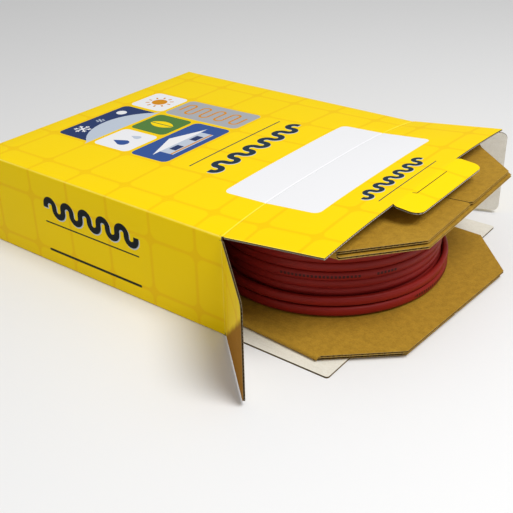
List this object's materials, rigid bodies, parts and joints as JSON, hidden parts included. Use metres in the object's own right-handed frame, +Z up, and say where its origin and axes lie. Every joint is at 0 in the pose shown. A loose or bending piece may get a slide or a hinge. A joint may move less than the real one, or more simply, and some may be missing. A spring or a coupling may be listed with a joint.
{
  "type": "boxed reel of heating cable",
  "caption": "Flat heating cable wound on an octagonal cardboard reel, half drawn out of its open corrugated carton with hinged top flap, tuck tab and dust flaps.",
  "frame": {"origin": "centre of the carton's underside, on the surface it stands on", "axes": "+X towards the open end and the reel, +Y towards the far side wall, +Z up"},
  "size_m": [0.4376, 0.3942, 0.106],
  "materials": {
    "printed_board": "satin",
    "white_board": "matte",
    "kraft_board": "matte",
    "cable_jacket": "satin"
  },
  "bodies": {
    "carton": {"carton_sleeve": "printed_board", "rear_top_flap": "printed_board", "rear_bottom_flap": "printed_board", "rear_dust_flap_near": "white_board", "rear_dust_flap_far": "white_board", "bottom_flap": "white_board", "lower_flange": "kraft_board", "upper_flange": "kraft_board", "core_tube": "kraft_board", "cable_coil": "cable_jacket"},
    "top_flap": {"top_flap": "printed_board"},
    "tuck_tab": {"tuck_tab": "printed_board"},
    "dust_flap_near": {"dust_flap_near": "white_board"},
    "dust_flap_far": {"dust_flap_far": "white_board"}
  },
  "joints": [
    {"name": "top_flap_crease", "type": "hinge", "parent": "carton", "child": "top_flap", "pos_m": [0.1475, 0, 0.0983], "axis": [0, -1, 0], "range_deg": [-4, 165]},
    {"name": "tuck_tab_crease", "type": "hinge", "parent": "top_flap", "child": "tuck_tab", "pos_m": [0.23979, -0.002, 0.106], "axis": [0, -1, 0], "range_deg": [-4, 42]},
    {"name": "dust_flap_near_crease", "type": "hinge", "parent": "carton", "child": "dust_flap_near", "pos_m": [0.1475, -0.15, 0], "axis": [0, 0, -1], "range_deg": [-47, 130]},
    {"name": "dust_flap_far_crease", "type": "hinge", "parent": "carton", "child": "dust_flap_far", "pos_m": [0.1475, 0.15, 0], "axis": [0, 0, 1], "range_deg": [-24, 150]}
  ]
}
